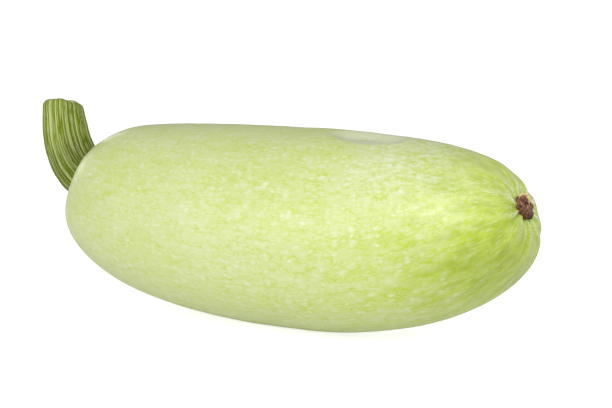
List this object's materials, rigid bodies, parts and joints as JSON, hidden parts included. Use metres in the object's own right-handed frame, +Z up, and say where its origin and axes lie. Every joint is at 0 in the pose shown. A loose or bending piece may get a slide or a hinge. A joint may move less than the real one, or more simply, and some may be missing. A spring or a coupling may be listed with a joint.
{
  "type": "courgette",
  "caption": "Whole pale green courgette lying on its side: a plump, slightly bent fruit with its curved cut stem, a corky blossom scar and a dry flake of the flower.",
  "frame": {"origin": "on the surface that the courgette lies on, below the middle of its bounding box", "axes": "+X along the fruit from the stem to the blossom scar, +Y to its far side, +Z up"},
  "size_m": [0.257, 0.09, 0.0931],
  "materials": {
    "skin": "waxy satin vegetable skin, pale yellow-green with a fine paler mottle",
    "stem_rind": "matt, finely ridged green rind with paler lengthwise lines",
    "cork": "rough brown cork",
    "dry_petal": "dry straw-coloured papery tissue"
  },
  "bodies": {
    "root": {"fruit": "skin", "stem": "stem_rind", "blossom_scar": "cork", "petal_remnant": "dry_petal"}
  },
  "joints": []
}
